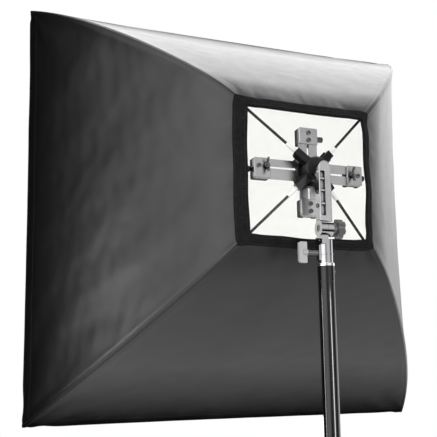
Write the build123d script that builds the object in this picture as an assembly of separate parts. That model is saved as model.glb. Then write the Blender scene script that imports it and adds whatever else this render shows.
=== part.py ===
from build123d import *
import math
import os

# A square softbox held behind its open back by a four-shoe flash bracket on a light stand's riser.
# Frame: millimetres, +Z up, the front (diffuser) faces -Y. The origin is the centre of the riser's
# lower end, so the riser's axis is the Z axis.

# ---- driving dimensions ----
AXIS_Z = 375.0          # height of the softbox's optical axis
OPEN_Y = -42.0          # plane of the rear opening
RIM_HALF = 350.0        # half of the 700 mm square front
OPEN_HALF = 90.0        # half of the 180 mm square rear opening
DEPTH = 335.0           # from the rear opening to the front rim

SEAM_START_DEG = 76.0   # heading of the rods at the rear opening, from the optical axis
SEAM_BEND_DEG = 55.0    # heading where the tight bend passes into the long one
SEAM_BEND_R = 250.0     # radius of the tight bend

SHELL_T = 1.2           # outer fabric
LINING_T = 0.6
LAYER_GAP = 0.2
BAND_W = 20.0           # touch-tape band round the rear opening
BAND_T = 1.2
HEM_W = 22.0            # front hem
HEM_T = 0.8
DIFFUSER_T = 0.8
DIFFUSER_SETBACK = 12.0  # the diffuser lies this far inside the front rim

ROD_R = 2.0
ROD_INSET = 8.0         # rod axis, inside the seam
ROD_IN_R = 18.0         # the rod's inner end, from the optical axis
ROD_END_GAP = 34.0      # the rod stops this far short of the rim, along the seam
TIP_R = 2.8
TIP_LEN = 12.0
POCKET_R = 3.9
POCKET_LEN = 26.0
FERRULE_R = 3.0
FERRULE_IN_R = 14.0
FERRULE_OUT_R = 50.0

PLATE_REAR = -41.0      # rear face of the cross plate
PLATE_T = 2.5
ARM_W = 28.0
ARM_LONG = 83.0         # left and right arms, from the plate's centre
ARM_SHORT = 63.0        # top and bottom arms
ARMS_UP = 2.0           # the plate's centre is this far above the optical axis
GUSSET = 24.0
ARM_SLOT_W = 3.2
SLOT_IN = 16.0
SLOT_END_GAP = 5.0
LEFT_SLOT_UP = 2.5      # the left arm's slot is above its middle

PLATE_FRONT = PLATE_REAR - PLATE_T
ARM_CORNER = 3.0

HUB_R = 17.0
HUB_REAR = -12.0
HUB_FOOT_R = 21.0       # wider foot against the plate
HUB_FOOT_T = 9.0
HUB_BOLT_R = 3.0
HUB_BOLT_TIP = 5.0      # the bolt ends inside the tilt arm
HUB_BOLT_HEX = 4.6
HUB_BOLT_HEAD = 3.5
HUB_SCREW_R = 2.0
HUB_SCREW_HEAD_R = 3.6
HUB_SCREW_AT = 9.0      # from the optical axis
HUB_SCREW_DEPTH = 7.0
SOCKET_W = 11.0
FLANGE_W = 15.0         # thin flange along each rod socket
FLANGE_T = 2.0
SOCKET_OUT_R = 36.0
SOCKET_IN_R = 8.0

SLIDE_GAP = 0.3         # between an arm and what slides on it
CLAMP_LEN = 24.0        # rear clamp plate, along the arm
CLAMP_T = 3.0
SHOE_H = 9.2
SHOE_BASE = 5.0
FOOT_W = 18.8           # channel for a flash foot
FOOT_H = 2.2
LIP_GAP = 12.8
SHOE_STOP = 3.0         # wall at the channel's closed end
CLAMP_REAR = PLATE_REAR + SLIDE_GAP + CLAMP_T
SHOE_REAR = PLATE_FRONT - SLIDE_GAP
SHOE_FRONT = SHOE_REAR - SHOE_H
KNOB_Y = SHOE_FRONT + 3.1    # level with the foot's channel
SIDE_KNOB_Y = SHOE_FRONT + 4.7
KNOB_R = 4.0
KNOB_LEN = 8.5
SIDE_KNOB_LEN = 12.0    # on the shoes clamped from the side
KNOB_NECK_R = 2.4
KNOB_NECK = 1.5
KNOB_THREAD_R = 1.5
KNOB_THREAD = 2.3
KNOB_GROOVES = 14
SCREW_R = 1.5
SCREW_HEAD_R = 3.3
SCREW_HEAD_H = 2.0
SCREW_GRIP = 3.8        # thread inside the shoe
SCREW_LEN = CLAMP_REAR - SHOE_REAR + SCREW_GRIP
OUTER_FIX = 7.0         # outer screw, from the clamp plate's outer edge
INNER_FIX = 17.5        # inner screw or wing nut, from the same edge
WING_R = 3.8
WING_H = 5.4
WING_SPAN = 20.0
STUD_TOP = CLAMP_REAR + WING_H + 3.6
FIT = 0.05              # radial running clearance

COLUMN_X = 9.0          # half of the tilt arm's width
COLUMN_Y = 7.0          # half of its depth
COLUMN_TOP_Z = AXIS_Z - 4.0
COLUMN_ROUND = 1.3
TILT_Z = AXIS_Z - 86.0
CHANNEL_X = (0.4, 7.4)
CHANNEL_Z = (TILT_Z + 16, AXIS_Z - 9)
CHANNEL_DEPTH = 3.5
RIB_T = 2.2
RIB_Z = (AXIS_Z - 19.5, AXIS_Z - 35.5, AXIS_Z - 53.5)
SIDE_SCREW_Z = (AXIS_Z - 21.5, AXIS_Z - 37, AXIS_Z - 55.5)
SIDE_SCREW_R = 1.6
SIDE_SCREW_DEPTH = 3.0
LUG_R = 11.0
LUG_OUT_X = 9.0         # outer face of the socket's lug
LUG_SPLIT_X = -0.5      # the two lugs meet here
LUG_GAP = 0.3
SWING_GAP = 0.6         # round each lug
TILT_BOLT_R = 3.0
TILT_HEAD_R = 4.6
TILT_HEAD_H = 2.6
TILT_KNOB_R = 13.0
TILT_KNOB_LEN = 15.0
TILT_KNOB_NECK = 5.0
KNOB_FACE_X = -COLUMN_X - 1.5
BOLT_END_X = KNOB_FACE_X - TILT_KNOB_LEN + 2

BARREL_R = 9.8
BARREL_BOTTOM = 242.5
BARREL_TOP = 273.4
NECK_TOP = TILT_Z - 10.5   # the neck under the socket's lug stays below the swinging tilt arm
SPIGOT_R = 8.0
SPIGOT_TOP = 268.0
GROOVE_Z = 255.7
GROOVE_R = 6.8
GROOVE_HALF = 4.5

HANDLE_Z = GROOVE_Z
HANDLE_AT_X = 33.4      # middle of the T-handle's grip
HANDLE_GRIP = (11.6, 4.6, 27.8)
HANDLE_STEM_R = 3.2
HANDLE_KNUCKLE_R = 4.6
HANDLE_KNUCKLE = 7.5    # length of the thick end, at the grip
HANDLE_THREAD_R = 2.6
EAR_X = BARREL_R + 1.5  # outer face of the socket's clamping ear
EAR_Y = 9.0
EAR_Z = 20.0

TUBE_R = 11.0
TUBE_WALL = 1.2
TUBE_TOP = 239.5
TUBE_NECK_R = 10.4      # the tube's end is turned down inside its sleeve
SLEEVE_R = 11.35
SLEEVE_BOTTOM = 218.0
SLEEVE_TOP = 238.0
COLLAR_TOP = 242.2
COLLAR_R = 11.6
SCREW_Z = 232.0
COLLAR_SCREW_R = 1.6
SPIGOT_FOOT = 200.0
BUSH_LEN = 16.0
BUSH_R = 6.5

# ---- the seam line: two tangent arcs in each diagonal plane ----
A0 = math.radians(SEAM_START_DEG)
A1 = math.radians(SEAM_BEND_DEG)
R_START = OPEN_HALF * math.sqrt(2)
R_RIM = RIM_HALF * math.sqrt(2)
BEND_DR = SEAM_BEND_R * (math.cos(A1) - math.cos(A0))
BEND_DF = SEAM_BEND_R * (math.sin(A0) - math.sin(A1))
LONG_DR = R_RIM - R_START - BEND_DR
LONG_DF = DEPTH - BEND_DF
A2 = 2 * math.atan2(LONG_DR, LONG_DF) - A1
LONG_R = math.hypot(LONG_DR, LONG_DF) / (2 * math.sin((A1 - A2) / 2))
BEND_LEN = SEAM_BEND_R * (A0 - A1)
SEAM_LEN = BEND_LEN + LONG_R * (A1 - A2)


def on_seam(s):
    """Distance from the optical axis, distance forward of the opening, and heading at length s."""
    if s <= BEND_LEN:
        a = A0 - s / SEAM_BEND_R
        r = R_START + SEAM_BEND_R * (math.cos(a) - math.cos(A0))
        return r, SEAM_BEND_R * (math.sin(A0) - math.sin(a)), a
    a = A1 - (s - BEND_LEN) / LONG_R
    r = R_START + BEND_DR + LONG_R * (math.cos(a) - math.cos(A1))
    return r, BEND_DF + LONG_R * (math.sin(A1) - math.sin(a)), a


def layer_point(s, inset):
    """A point of the +X panel's profile, inset by a distance square to the cloth, as (x, y)."""
    r, f, a = on_seam(s)
    h = r / math.sqrt(2)
    nx = -math.cos(a)
    nf = math.sin(a) / math.sqrt(2)
    n = math.hypot(nx, nf)
    return h + inset * nx / n, OPEN_Y - f - inset * nf / n


def about_axis(shape, quarter):
    """Turns a shape about the optical axis by quarter turns: 0 left (+X), 1 top, 2 right, 3 bottom."""
    return Pos(0, 0, AXIS_Z) * Rot(0, -90 * quarter, 0) * Pos(0, 0, -AXIS_Z) * shape


def on_arm(shape, quarter):
    """Turns a piece laid out for the left arm to its own arm, about the cross plate's centre."""
    return Pos(0, 0, ARMS_UP) * about_axis(shape, quarter)


WEDGE = Pos(0, 0, AXIS_Z) * extrude(
    Plane.XZ * make_face(Polyline((0, 0), (500, 500), (500, -500), close=True)), 500, both=True)
BEHIND_RIM = Pos(0, OPEN_Y - DEPTH + 300, AXIS_Z) * Box(900, 600, 900)


def cloth_layer(inset, thickness, s_from, s_to, steps):
    """One mitred side of a cloth layer: the seam's profile, extruded and cut along the diagonals."""
    lengths = [s_from + (s_to - s_from) * i / steps for i in range(steps + 1)]
    outer = [layer_point(s, inset) for s in lengths]
    inner = [layer_point(s, inset + thickness) for s in reversed(lengths)]
    edges = [Spline(*outer), Line(outer[-1], inner[0]), Spline(*inner), Line(inner[-1], outer[0])]
    slab = Pos(0, 0, AXIS_Z) * extrude(make_face(edges), RIM_HALF + 5, both=True)
    return slab & WEDGE & BEHIND_RIM


# ---- rods, in each diagonal plane ----
def rod_point(s, inset):
    r, f, a = on_seam(s)
    return r - inset * math.cos(a), f + inset * math.sin(a)


ROD_BEND = rod_point(0, ROD_INSET)


def rod_line(r):
    """How far forward of the opening the rod's straight inner stretch is, at radius r."""
    return ROD_BEND[1] - (ROD_BEND[0] - r) / math.tan(A0)


def diagonal(r, f, offset=0.0):
    """A point of the upper left diagonal plane, offset sideways."""
    across = offset / math.sqrt(2)
    return Vector(r / math.sqrt(2) + across, OPEN_Y - f, AXIS_Z + r / math.sqrt(2) - across)


ROD_AXIS = (diagonal(SOCKET_OUT_R, rod_line(SOCKET_OUT_R)) - diagonal(0, rod_line(0))).normalized()
DIAGONAL_SIDE = Vector(1, 0, -1).normalized()


def rod_plane(r):
    return Plane(origin=diagonal(r, rod_line(r)), x_dir=DIAGONAL_SIDE, z_dir=ROD_AXIS)


def along_rod(r_from, r_to):
    return (r_to - r_from) / math.sin(A0)


def make_rod():
    s_end = SEAM_LEN - ROD_END_GAP
    p0 = diagonal(ROD_IN_R, rod_line(ROD_IN_R))
    p1 = diagonal(*ROD_BEND)
    p2 = diagonal(*rod_point(BEND_LEN / 2, ROD_INSET))
    p3 = diagonal(*rod_point(BEND_LEN, ROD_INSET))
    p4 = diagonal(*rod_point((BEND_LEN + s_end) / 2, ROD_INSET))
    p5 = diagonal(*rod_point(s_end, ROD_INSET))
    path = Line(p0, p1) + ThreePointArc(p1, p2, p3) + ThreePointArc(p3, p4, p5)
    return sweep(rod_plane(ROD_IN_R) * Circle(ROD_R), path=path)


def rod_end_plane():
    s_end = SEAM_LEN - ROD_END_GAP
    a = on_seam(s_end)[2]
    heading = Vector(math.sin(a) / math.sqrt(2), -math.cos(a), math.sin(a) / math.sqrt(2))
    return Plane(origin=diagonal(*rod_point(s_end, ROD_INSET)), x_dir=DIAGONAL_SIDE, z_dir=heading)


def make_rod_tip():
    base = rod_end_plane().offset(-TIP_LEN + 3)
    cap = base * extrude(Circle(TIP_R), TIP_LEN)
    cap = fillet(cap.edges().group_by(SortBy.LENGTH)[-1].sort_by(Axis((0, 0, 0), ROD_AXIS))[-1], 1.2)
    return cap - ROD


def make_pocket():
    base = rod_end_plane().offset(-POCKET_LEN + 8)
    sleeve = base * extrude(Circle(POCKET_R), POCKET_LEN)
    return sleeve - base * extrude(Circle(TIP_R), POCKET_LEN - 2.5)


def make_ferrule():
    body = rod_plane(FERRULE_IN_R) * extrude(Circle(FERRULE_R), along_rod(FERRULE_IN_R, FERRULE_OUT_R))
    nose = rod_plane(FERRULE_OUT_R) * extrude(Circle(FERRULE_R), 2.5, taper=22)
    return body + nose - ROD


# ---- bracket ----
def arm_outline(length):
    """An arm from the plate's centre, with round corners at its outer end only."""
    rounded = Pos(length / 2, 0) * RectangleRounded(length, ARM_W, ARM_CORNER)
    return rounded + Pos(ARM_W / 4, 0) * Rectangle(ARM_W / 2, ARM_W)


def make_cross_plate():
    face = Rectangle(ARM_W, ARM_W)
    corners = [(GUSSET, ARM_W / 2), (ARM_W / 2, GUSSET)]
    octagon = []
    for k in range(4):
        turn = math.radians(90 * k)
        for x, z in corners:
            octagon.append((x * math.cos(turn) - z * math.sin(turn), x * math.sin(turn) + z * math.cos(turn)))
    face += make_face(Polyline(*octagon, close=True))
    for k, length in enumerate((ARM_LONG, ARM_SHORT, ARM_LONG, ARM_SHORT)):
        slot_len = length - SLOT_END_GAP - SLOT_IN
        slot_up = LEFT_SLOT_UP if k == 0 else 0
        slot = Pos(SLOT_IN + slot_len / 2, slot_up) * SlotOverall(slot_len, ARM_SLOT_W)
        face += Rot(0, 0, 90 * k) * arm_outline(length)
        face -= Rot(0, 0, 90 * k) * slot
    plate = Pos(0, PLATE_REAR, AXIS_Z + ARMS_UP) * extrude(Plane.XZ * face, PLATE_T)
    plate -= disc_y(HUB_BOLT_R, PLATE_FRONT - 1, PLATE_REAR + 1)
    for x, z in hub_screw_places():
        plate -= disc_y(HUB_SCREW_R, PLATE_FRONT - 1, PLATE_REAR + 1, x, z)
    return plate


def disc_y(radius, y_from, y_to, x=0.0, z=AXIS_Z):
    """A cylinder along Y."""
    turned = Rot(-90, 0, 0) * Cylinder(radius, y_to - y_from, align=(Align.CENTER, Align.CENTER, Align.MIN))
    return Pos(x, y_from, z) * turned


def disc_x(radius, x_from, x_to, y=0.0, z=TILT_Z):
    """A cylinder along X."""
    turned = Rot(0, 90, 0) * Cylinder(radius, x_to - x_from, align=(Align.CENTER, Align.CENTER, Align.MIN))
    return Pos(x_from, y, z) * turned


def disc_z(radius, z_from, z_to):
    return Pos(0, 0, z_from) * Cylinder(radius, z_to - z_from, align=(Align.CENTER, Align.CENTER, Align.MIN))


def make_hub():
    core = disc_y(HUB_R, PLATE_REAR, HUB_REAR)
    core = chamfer(core.edges().group_by(Axis.Y)[-1], 2)
    core += disc_y(HUB_FOOT_R, PLATE_REAR, PLATE_REAR + HUB_FOOT_T)
    length = along_rod(SOCKET_IN_R, SOCKET_OUT_R)
    socket = rod_plane(SOCKET_IN_R) * extrude(RectangleRounded(SOCKET_W, SOCKET_W, 1.5), length)
    flange = rod_plane(SOCKET_IN_R + 6) * extrude(Pos(0, -2.5) * Rectangle(FLANGE_W, FLANGE_T), length - 8)
    bore = rod_plane(FERRULE_IN_R) * extrude(Circle(FERRULE_R), 60)
    hub = core
    for k in range(4):
        hub += about_axis(socket + flange, k)
    for k in range(4):
        hub -= about_axis(bore, k)
    hub -= disc_y(HUB_BOLT_R, PLATE_REAR - 1, HUB_REAR + 1)
    for x, z in hub_screw_places():
        hub -= disc_y(HUB_SCREW_R, PLATE_REAR - 1, PLATE_REAR + HUB_SCREW_DEPTH + 1, x, z)
    return hub


def hub_screw_places():
    return [(HUB_SCREW_AT, AXIS_Z), (0, AXIS_Z + HUB_SCREW_AT),
            (-HUB_SCREW_AT, AXIS_Z), (0, AXIS_Z - HUB_SCREW_AT)]


def cross_recess(radius, depth):
    """The cross-head driver recess of a screw, standing on the XY plane and pointing down."""
    bar = Box(radius * 1.2, radius * 0.3, depth, align=(Align.CENTER, Align.CENTER, Align.MAX))
    return bar + Rot(0, 0, 90) * bar


def pan_screw(shank_r, shank_len, head_r, head_h):
    """A pan-head screw along -Z: the head stands above the XY plane."""
    head = Cylinder(head_r, head_h, align=(Align.CENTER, Align.CENTER, Align.MIN))
    head = fillet(head.edges().group_by(Axis.Z)[-1], head_h * 0.45)
    head -= Pos(0, 0, head_h) * cross_recess(head_r, head_h * 0.55)
    return head + Cylinder(shank_r, shank_len, align=(Align.CENTER, Align.CENTER, Align.MAX))


FACING_REAR = Rot(-90, 0, 0)     # turns +Z to +Y
FACING_FRONT = Rot(90, 0, 0)     # turns +Z to -Y
FACING_LEFT = Rot(0, 90, 0)      # turns +Z to +X
FACING_RIGHT = Rot(0, -90, 0)    # turns +Z to -X


def make_hub_screws():
    screw = FACING_FRONT * pan_screw(HUB_SCREW_R, PLATE_T + HUB_SCREW_DEPTH, HUB_SCREW_HEAD_R, 1.8)
    return [Pos(x, PLATE_FRONT, z) * screw for x, z in hub_screw_places()]


def make_hub_bolt():
    head = Pos(0, PLATE_FRONT, AXIS_Z) * FACING_FRONT * extrude(RegularPolygon(HUB_BOLT_HEX, 6), HUB_BOLT_HEAD)
    return head + disc_y(HUB_BOLT_R, PLATE_FRONT, HUB_BOLT_TIP)


# ---- flash shoes on the arms. A shoe is laid out for the +X arm, then turned about the optical axis ----
def clamp_plate(outer, holes, rise):
    x = outer - CLAMP_LEN / 2
    plate = Pos(x, CLAMP_REAR - CLAMP_T / 2, AXIS_Z) * Box(CLAMP_LEN, CLAMP_T, ARM_W)
    plate = fillet(plate.edges().filter_by(Axis.Y), 2)
    plate = chamfer(plate.faces().sort_by(Axis.Y)[-1].edges(), 0.6)
    for at in holes:
        plate -= disc_y(SCREW_R, CLAMP_REAR - 9, CLAMP_REAR + 1, at, AXIS_Z + rise)
    return plate


def shoe_body(outer, holes, rise, across):
    """The shoe's channel runs along the arm, or across it, and is open at its outer or upper end."""
    x = outer - CLAMP_LEN / 2
    centre = Pos(x, SHOE_FRONT, AXIS_Z)
    block = Pos(x, SHOE_REAR - SHOE_H / 2, AXIS_Z) * Box(CLAMP_LEN, SHOE_H, ARM_W)
    block = fillet(block.edges().filter_by(Axis.Y), 1.5)
    lip = SHOE_H - SHOE_BASE - FOOT_H
    length = ARM_W if across else CLAMP_LEN
    foot = Box(length, FOOT_H, FOOT_W, align=(Align.CENTER, Align.MIN, Align.CENTER))
    mouth = Box(length, lip, LIP_GAP, align=(Align.CENTER, Align.MIN, Align.CENTER))
    channel = Pos(SHOE_STOP, lip, 0) * foot + Pos(SHOE_STOP, 0, 0) * mouth
    if across:
        channel = Rot(0, -90, 0) * channel
    block -= centre * channel
    for at in holes:
        block -= disc_y(SCREW_R, SHOE_REAR - SCREW_GRIP, SHOE_REAR + 1, at, AXIS_Z + rise)
    return block


def clamp_screw(at, length):
    return Pos(at, CLAMP_REAR, AXIS_Z) * FACING_REAR * pan_screw(SCREW_R, length, SCREW_HEAD_R, SCREW_HEAD_H)


def wing_stud(at):
    stud = disc_y(SCREW_R, SHOE_REAR - SCREW_GRIP, STUD_TOP, at)
    return chamfer(stud.edges().group_by(Axis.Y)[-1], 0.5)


def wing_nut(at):
    base = CLAMP_REAR + 0.2
    body = disc_y(WING_R + 1, base, base + 2) + disc_y(WING_R, base + 2, base + WING_H)
    wing = Polyline((2.6, 2.8), (5.2, 2.8), (WING_SPAN / 2, 7.5), (WING_SPAN / 2, 10.5), (7.2, 10.5),
                    (2.6, WING_H), close=True)
    wing = extrude(make_face(wing), 1.0, both=True)
    wing = fillet(wing.edges().filter_by(Axis.Z).group_by(Axis.Y)[-1], 1.2)
    pair = wing + mirror(wing, about=Plane.YZ)
    nut = Pos(at, 0, 0) * body + Pos(at, base, AXIS_Z) * Rot(0, 90, 0) * pair
    return nut - disc_y(SCREW_R + FIT, base - 1, base + WING_H + 8, at)


def knurled(radius, length, grooves):
    """A knurled head along +Z, standing on the XY plane."""
    head = Cylinder(radius, length, align=(Align.CENTER, Align.CENTER, Align.MIN))
    head = chamfer(head.edges().filter_by(GeomType.CIRCLE), 0.6)
    cut = Cylinder(0.45, length, align=(Align.CENTER, Align.CENTER, Align.MIN))
    for k in range(grooves):
        head -= Rot(0, 0, 360 * k / grooves) * Pos(radius, 0, 0) * cut
    return head


def shoe_knob(reach):
    """A clamp knob along +Z: knurled head, neck and the thread that reaches the foot's channel."""
    neck = Cylinder(KNOB_NECK_R, KNOB_NECK, align=(Align.CENTER, Align.CENTER, Align.MIN))
    thread = Cylinder(KNOB_THREAD_R, KNOB_THREAD, align=(Align.CENTER, Align.CENTER, Align.MAX))
    head = Pos(0, 0, KNOB_NECK) * knurled(KNOB_R, reach - KNOB_NECK, KNOB_GROOVES)
    return Pos(0, 0, SLIDE_GAP) * (thread + neck + head)


# ---- tilt arm, tilt joint and stand socket ----
def make_tilt_arm():
    height = COLUMN_TOP_Z - TILT_Z
    column = Pos(0, 0, TILT_Z + height / 2) * Box(2 * COLUMN_X, 2 * COLUMN_Y, height)
    column += disc_y(COLUMN_X, -COLUMN_Y, COLUMN_Y, 0, COLUMN_TOP_Z)
    column = fillet(column.edges().filter_by(Axis.Z), COLUMN_ROUND)
    lug = disc_x(LUG_R, -COLUMN_X, LUG_SPLIT_X - LUG_GAP / 2)
    column += lug
    swing = disc_x(LUG_R + SWING_GAP, LUG_SPLIT_X - LUG_GAP / 2, COLUMN_X + 1)
    below = Pos(COLUMN_X + LUG_SPLIT_X - LUG_GAP / 2, 0, TILT_Z - 10) * Box(2 * COLUMN_X, 60, 20)
    column -= swing + below
    column += disc_y(COLUMN_X - 0.5, HUB_REAR, -COLUMN_Y, 0, AXIS_Z - 4)
    x0, x1 = CHANNEL_X
    z0, z1 = CHANNEL_Z
    channel = Pos((x0 + x1) / 2, COLUMN_Y, (z0 + z1) / 2) * Box(x1 - x0, 2 * CHANNEL_DEPTH, z1 - z0)
    channel = fillet(channel.edges().filter_by(Axis.Y), 2)
    for z in RIB_Z:
        channel -= Pos((x0 + x1) / 2, COLUMN_Y - CHANNEL_DEPTH, z) * Box(x1 - x0, 5, RIB_T)
    column -= channel
    column -= disc_x(TILT_BOLT_R + FIT, -COLUMN_X - 1, COLUMN_X)
    for z in SIDE_SCREW_Z:
        column -= disc_x(SIDE_SCREW_R, COLUMN_X - SIDE_SCREW_DEPTH, COLUMN_X + 1, 0, z)
    column -= disc_y(HUB_BOLT_R, HUB_REAR - 1, HUB_BOLT_TIP)
    return column


def make_side_screws():
    screw = FACING_LEFT * pan_screw(SIDE_SCREW_R, SIDE_SCREW_DEPTH, 3.0, 1.4)
    return [Pos(COLUMN_X, 0, z) * screw for z in SIDE_SCREW_Z]


def make_socket():
    barrel = disc_z(BARREL_R, BARREL_BOTTOM, BARREL_TOP)
    lug = disc_x(LUG_R, LUG_SPLIT_X + LUG_GAP / 2, LUG_OUT_X)
    neck_x = LUG_SPLIT_X + LUG_GAP / 2
    neck = Box(LUG_OUT_X - neck_x, 2 * BARREL_R - 1, NECK_TOP - BARREL_TOP + 6)
    lug += Pos((LUG_OUT_X + neck_x) / 2, 0, (BARREL_TOP + NECK_TOP) / 2 - 3) * neck
    swing = disc_x(LUG_R + SWING_GAP, -COLUMN_X - 3, LUG_SPLIT_X + LUG_GAP / 2)
    body = barrel + lug - swing
    body += Pos((EAR_X + BARREL_R) / 2 - 2, 0, HANDLE_Z) * Box(EAR_X - BARREL_R + 4, EAR_Y, EAR_Z)
    body += disc_z(BARREL_R + 0.5, TILT_Z - 36, TILT_Z - 34.4)
    body -= disc_z(SPIGOT_R + FIT, BARREL_BOTTOM - 1, SPIGOT_TOP + 0.6)
    body -= disc_x(TILT_BOLT_R, -2, LUG_OUT_X + 1)
    body -= disc_x(TILT_HEAD_R, LUG_OUT_X - TILT_HEAD_H, LUG_OUT_X + 1)
    body -= disc_x(HANDLE_THREAD_R + FIT, 2, EAR_X + 1, 0, HANDLE_Z)
    return body


def make_tilt_bolt():
    head = disc_x(TILT_HEAD_R, LUG_OUT_X - TILT_HEAD_H, LUG_OUT_X - 0.4)
    return head + disc_x(TILT_BOLT_R, BOLT_END_X, LUG_OUT_X - TILT_HEAD_H)


def make_tilt_washer():
    return disc_x(7.5, KNOB_FACE_X, -COLUMN_X) - disc_x(TILT_BOLT_R + FIT, KNOB_FACE_X - 1, 0)


def make_tilt_knob():
    """A six-lobed knob along +Z, then turned to face right."""
    grip = Cylinder(TILT_KNOB_R, TILT_KNOB_LEN - TILT_KNOB_NECK, align=(Align.CENTER, Align.CENTER, Align.MIN))
    grip = Pos(0, 0, TILT_KNOB_NECK) * grip
    grip = fillet(grip.edges().group_by(Axis.Z)[-1], 1.5)
    for k in range(6):
        grip -= Rot(0, 0, 60 * k + 30) * Pos(TILT_KNOB_R + 1.4, 0, 0) * Cylinder(4.6, 60)
    neck = Cylinder(8.0, TILT_KNOB_NECK, align=(Align.CENTER, Align.CENTER, Align.MIN))
    bore = Cylinder(TILT_BOLT_R + FIT, 2 * TILT_KNOB_LEN - 4)
    knob = grip + neck - bore
    return Pos(KNOB_FACE_X - 0.3, 0, TILT_Z) * FACING_RIGHT * knob


def make_lock_handle():
    """The T-handle: threaded tip, round stem and a flat grip plate."""
    grip = Pos(HANDLE_AT_X, 0, HANDLE_Z) * Box(*HANDLE_GRIP)
    outer_edges = grip.edges().filter_by(Axis.Y).group_by(Axis.X)[-1]
    grip = fillet(outer_edges, 3.5)
    grip = fillet(grip.edges().filter_by(Axis.Y).group_by(Axis.X)[0], 1.0)
    stem = disc_x(HANDLE_STEM_R, EAR_X + 0.3, HANDLE_AT_X, 0, HANDLE_Z)
    knuckle = disc_x(HANDLE_KNUCKLE_R, HANDLE_AT_X - HANDLE_KNUCKLE, HANDLE_AT_X, 0, HANDLE_Z)
    knuckle = fillet(knuckle.edges().filter_by(GeomType.CIRCLE), 1.6)
    tip = disc_x(HANDLE_THREAD_R, GROOVE_R + 0.4, EAR_X + 1, 0, HANDLE_Z)
    return grip + stem + knuckle + tip


# ---- stand riser ----
def make_tube():
    """The riser, with its upper end turned down to take the sleeve."""
    tube = disc_z(TUBE_R, 0, SLEEVE_BOTTOM) + disc_z(TUBE_NECK_R, SLEEVE_BOTTOM, TUBE_TOP)
    tube -= disc_z(TUBE_R - TUBE_WALL, -1, TUBE_TOP + 1)
    return tube - disc_x(COLLAR_SCREW_R, -TUBE_R - 2, 0, 0, SCREW_Z)


def make_sleeve():
    ring = disc_z(SLEEVE_R, SLEEVE_BOTTOM, SLEEVE_TOP)
    ring = chamfer(ring.edges().group_by(Axis.Z)[0], 0.4)
    ring -= disc_z(TUBE_NECK_R, SLEEVE_BOTTOM - 1, SLEEVE_TOP + 1)
    return ring - disc_x(COLLAR_SCREW_R, -TUBE_R - 2, 0, 0, SCREW_Z)


def make_collar():
    ring = disc_z(COLLAR_R, SLEEVE_TOP, COLLAR_TOP)
    ring = fillet(ring.edges().group_by(Axis.Z)[-1], 0.8)
    return ring - disc_z(TUBE_NECK_R, SLEEVE_TOP - 1, TUBE_TOP) - disc_z(SPIGOT_R, TUBE_TOP - 1, COLLAR_TOP + 1)


def make_spigot():
    body = disc_z(TUBE_R - TUBE_WALL, SPIGOT_FOOT, TUBE_TOP) + disc_z(SPIGOT_R, TUBE_TOP, SPIGOT_TOP)
    body = chamfer(body.edges().group_by(Axis.Z)[-1], 1.0)
    groove = disc_z(SPIGOT_R + 1, GROOVE_Z - GROOVE_HALF, GROOVE_Z + GROOVE_HALF)
    body -= groove - disc_z(GROOVE_R, 0, SPIGOT_TOP)
    return body - disc_x(COLLAR_SCREW_R, -TUBE_R, -SLEEVE_R + 5, 0, SCREW_Z)


def make_collar_screw():
    return Pos(-SLEEVE_R, 0, SCREW_Z) * FACING_RIGHT * pan_screw(COLLAR_SCREW_R, 5.0, 2.8, 1.3)


def make_guide_bush():
    bush = disc_z(TUBE_R - TUBE_WALL, 0.5, BUSH_LEN)
    return bush - disc_z(BUSH_R, 0.4, 3.0)


# ---- write the nodes ----
os.makedirs("parts", exist_ok=True)


def write(name, shape):
    if isinstance(shape, list):
        shape = Compound(children=shape)
    export_step(shape, f"parts/{name}.step")


SIDES = ("left", "top", "right", "bottom")
ROD = make_rod()

shell_parts = (
    ("panel", cloth_layer(0, SHELL_T, 0, SEAM_LEN, 12)),
    ("lining", cloth_layer(SHELL_T + LAYER_GAP, LINING_T, 0, SEAM_LEN, 12)),
)
for kind, side_shape in shell_parts:
    for k, side in enumerate(SIDES):
        write(f"{kind}_{side}", about_axis(side_shape, k))

band = cloth_layer(-BAND_T - 0.1, BAND_T, 0, BAND_W, 3)
write("opening_band", [about_axis(band, k) for k in range(4)])
hem_inset = SHELL_T + LINING_T + 2 * LAYER_GAP
hem = cloth_layer(hem_inset, HEM_T, SEAM_LEN - HEM_W, SEAM_LEN, 3)
write("front_hem", [about_axis(hem, k) for k in range(4)])

rod_names = ("rod_top_left", "rod_top_right", "rod_bottom_right", "rod_bottom_left")
for k, name in enumerate(rod_names):
    write(name, about_axis(ROD, k))
write("rod_ferrules", [about_axis(make_ferrule(), k) for k in range(4)])
write("rod_tips", [about_axis(make_rod_tip(), k) for k in range(4)])
write("corner_pockets", [about_axis(make_pocket(), k) for k in range(4)])


# ---- front diffuser ----
def make_diffuser():
    """A flat sheet inside the front hem."""
    depth = DEPTH - DIFFUSER_SETBACK
    back = depth - DIFFUSER_T
    low, high = 0.0, SEAM_LEN
    for _ in range(40):
        mid = (low + high) / 2
        if OPEN_Y - layer_point(mid, hem_inset + HEM_T)[1] < back:
            low = mid
        else:
            high = mid
    half = layer_point(low, hem_inset + HEM_T)[0] - 0.1
    return Pos(0, OPEN_Y - depth, AXIS_Z) * Box(2 * half, DIFFUSER_T, 2 * half)


write("front_diffuser", make_diffuser())

# ---- bracket ----
write("cross_plate", make_cross_plate())
write("hub", make_hub())
write("hub_screws", make_hub_screws())
write("hub_bolt", make_hub_bolt())

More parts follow.
